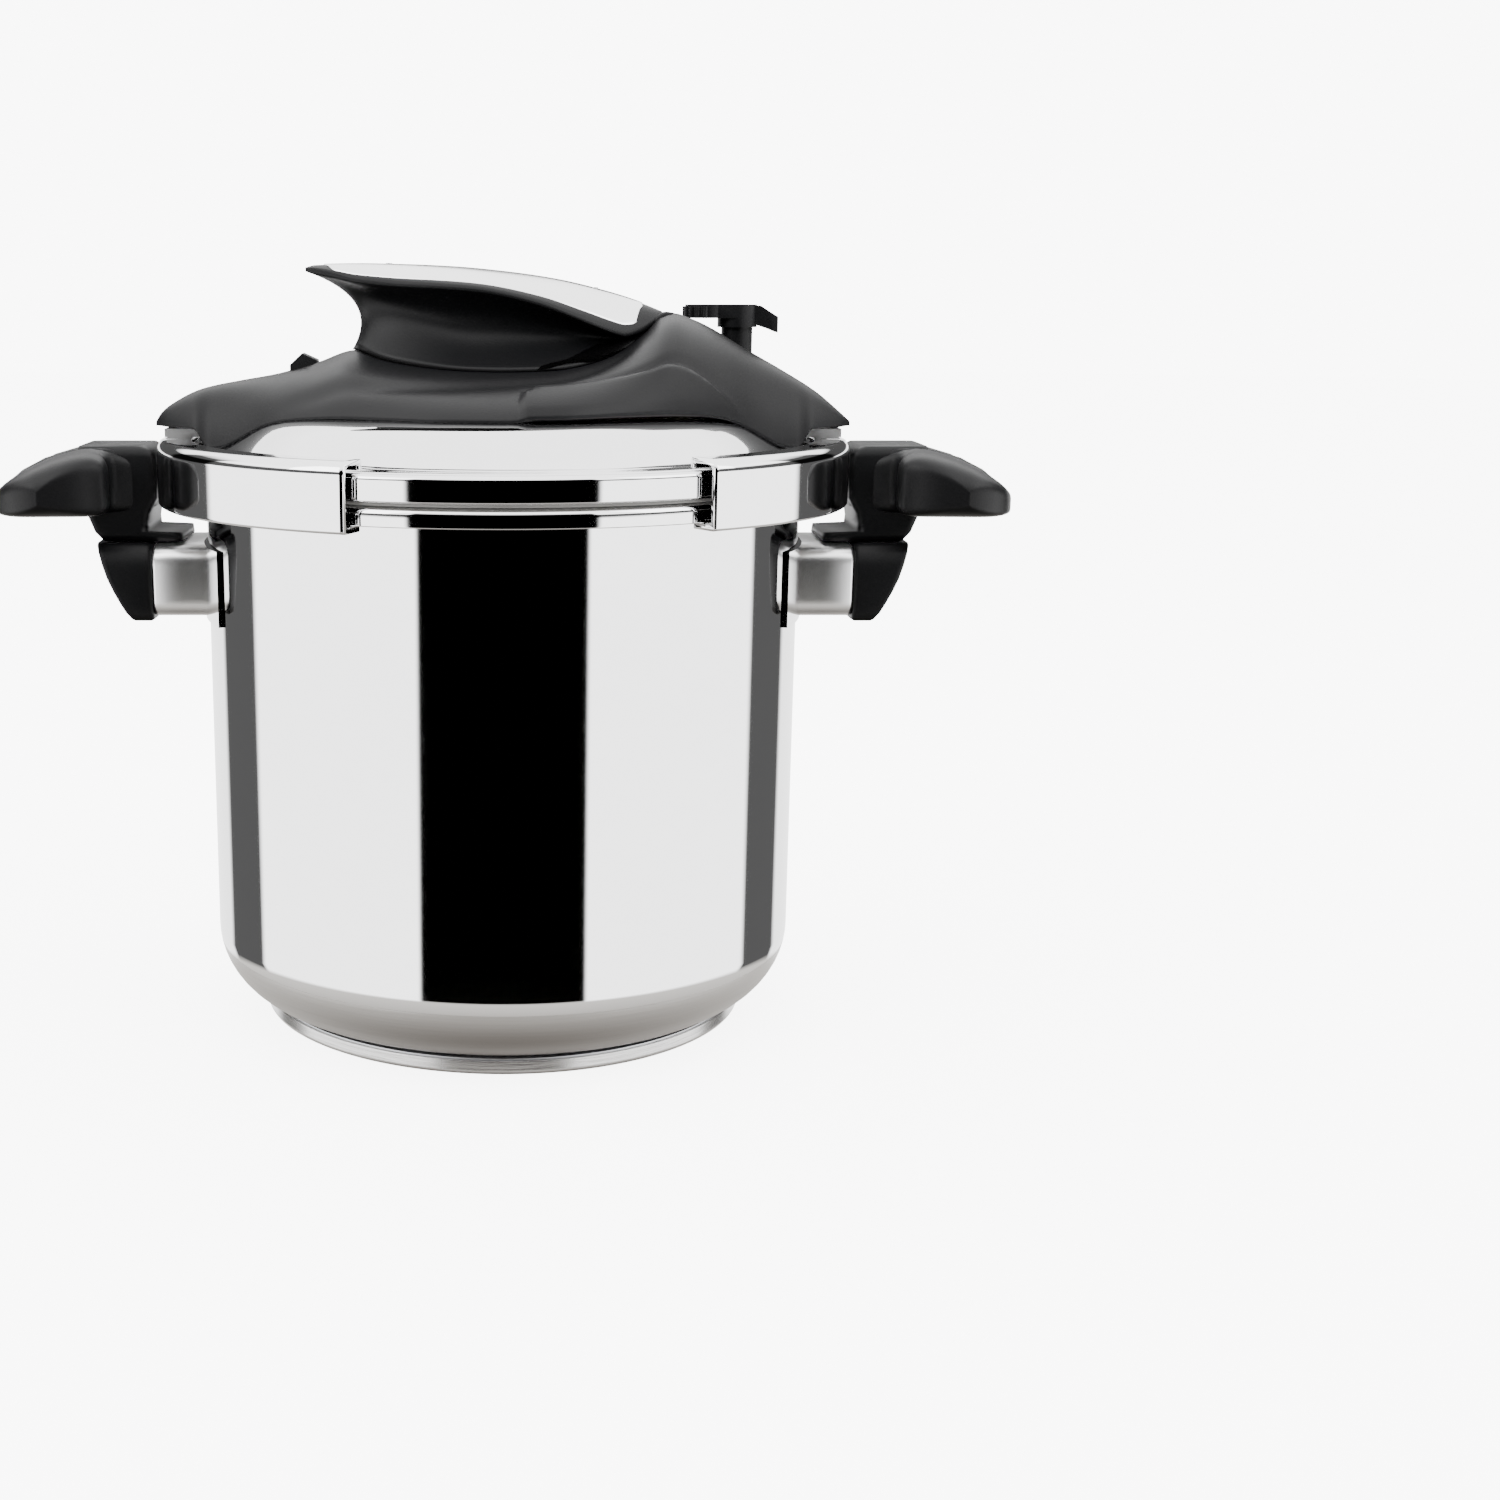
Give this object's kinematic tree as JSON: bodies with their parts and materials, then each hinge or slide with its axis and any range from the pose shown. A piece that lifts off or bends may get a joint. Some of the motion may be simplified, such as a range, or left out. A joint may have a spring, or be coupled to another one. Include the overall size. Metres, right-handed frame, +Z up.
{
  "type": "stovetop pressure cooker",
  "caption": "Round steel stovetop pressure cooker with side handles, a domed lid held by sliding jaws, and a black lever that draws the jaws in.",
  "frame": {"origin": "centre of the base's underside", "axes": "+Z up through the lid; +X towards the steam valve and the lever's hinge; the lever's free end and the left side handle are at -X; the side that faces the viewer is -Y"},
  "size_m": [0.376, 0.247, 0.2818],
  "materials": {
    "polished_steel": "mirror polished stainless steel, brushed satin inside the pot",
    "base_steel": "turned, fine concentric marks",
    "base_aluminium": "plain, hidden",
    "black_phenolic": "moulded black, fine matt texture",
    "inlay_steel": "bright satin leaf let into the lever",
    "fittings_steel": "turned or cold headed steel",
    "pressed_steel": "pressed or turned, left satin",
    "spring_steel": "bright wire",
    "glide_plastic": "smooth off-white",
    "lock_plastic": "moulded black",
    "grey_rubber": "smooth",
    "signal_red": "smooth"
  },
  "bodies": {
    "pot": {"pot_body": "polished_steel", "base_core": "base_aluminium", "base_cap": "base_steel", "left_handle_pad": "polished_steel", "right_handle_pad": "polished_steel", "left_sleeve": "polished_steel", "right_sleeve": "polished_steel", "left_side_handle": "black_phenolic", "right_side_handle": "black_phenolic", "handle_screws": "fittings_steel"},
    "lid": {"lid_shell": "polished_steel", "lid_gasket": "grey_rubber", "centre_stud": "fittings_steel", "glide_plate": "glide_plastic", "chassis": "pressed_steel", "stud_nut": "fittings_steel", "cover": "black_phenolic", "cover_screws": "fittings_steel", "hinge_pin": "fittings_steel", "valve_bush": "pressed_steel", "valve_chimney": "fittings_steel", "valve_nut": "fittings_steel", "safety_valve_body": "pressed_steel", "safety_valve_nut": "fittings_steel", "pin_bush": "pressed_steel"},
    "left_jaw": {"left_jaw": "polished_steel", "left_arm": "pressed_steel", "left_rivets": "fittings_steel"},
    "right_jaw": {"right_jaw": "polished_steel", "right_arm": "pressed_steel", "right_rivets": "fittings_steel"},
    "pinion": {"pinion": "pressed_steel"},
    "lever": {"lever_body": "black_phenolic", "lever_inlay": "inlay_steel", "inlay_pins": "fittings_steel", "lever_yoke": "pressed_steel", "crank_pin": "fittings_steel"},
    "lock": {"lock_slide": "lock_plastic", "lock_spring": "spring_steel"},
    "selector": {"valve_selector": "black_phenolic"},
    "needle": {"valve_needle": "fittings_steel"},
    "safety_valve": {"safety_valve_plunger": "signal_red"},
    "indicator": {"pressure_pin": "signal_red", "pressure_pin_ring": "grey_rubber"}
  },
  "joints": [
    {"name": "lid_lift", "type": "slide", "parent": "pot", "child": "lid", "axis": [0, 0, 1], "range_m": [0, 0.21]},
    {"name": "lever_turn", "type": "hinge", "parent": "lid", "child": "lever", "pos_m": [0.061, 0, 0.2575], "axis": [0, 1, 0], "range_deg": [0, 39.93]},
    {"name": "left_jaw_slide", "type": "slide", "parent": "lid", "child": "left_jaw", "axis": [-1, 0, 0], "range_m": [0, 0.01401]},
    {"name": "right_jaw_slide", "type": "slide", "parent": "lid", "child": "right_jaw", "axis": [1, 0, 0], "range_m": [0, 0.01401]},
    {"name": "pinion_turn", "type": "hinge", "parent": "lid", "child": "pinion", "pos_m": [0, 0, 0.233], "axis": [0, 0, 1], "range_deg": [-83.7, 0]},
    {"name": "lock_push", "type": "slide", "parent": "lid", "child": "lock", "axis": [-1, 0, 0], "range_m": [0, 0.006], "stiffness_N_per_m": 300, "springref_m": -0.002, "deforming": ["lock_spring"]},
    {"name": "selector_turn", "type": "hinge", "parent": "lid", "child": "selector", "pos_m": [0.0885, 0.014, 0.25], "axis": [0, 0, -1], "range_deg": [0, 90]},
    {"name": "needle_lift", "type": "slide", "parent": "lid", "child": "needle", "axis": [0, 0, 1], "range_m": [0, 0.0015]},
    {"name": "safety_lift", "type": "slide", "parent": "lid", "child": "safety_valve", "axis": [0, 0, 1], "range_m": [0, 0.002], "stiffness_N_per_m": 800, "springref_m": -0.002},
    {"name": "indicator_lift", "type": "slide", "parent": "lid", "child": "indicator", "axis": [0, 0, 1], "range_m": [0, 0.003]}
  ],
  "couplings": [
    {"joint": "left_jaw_slide", "follows": "lever_turn", "m_per_rad": 0.020088},
    {"joint": "right_jaw_slide", "follows": "lever_turn", "m_per_rad": 0.020088},
    {"joint": "pinion_turn", "follows": "lever_turn", "ratio": -2.0925}
  ]
}
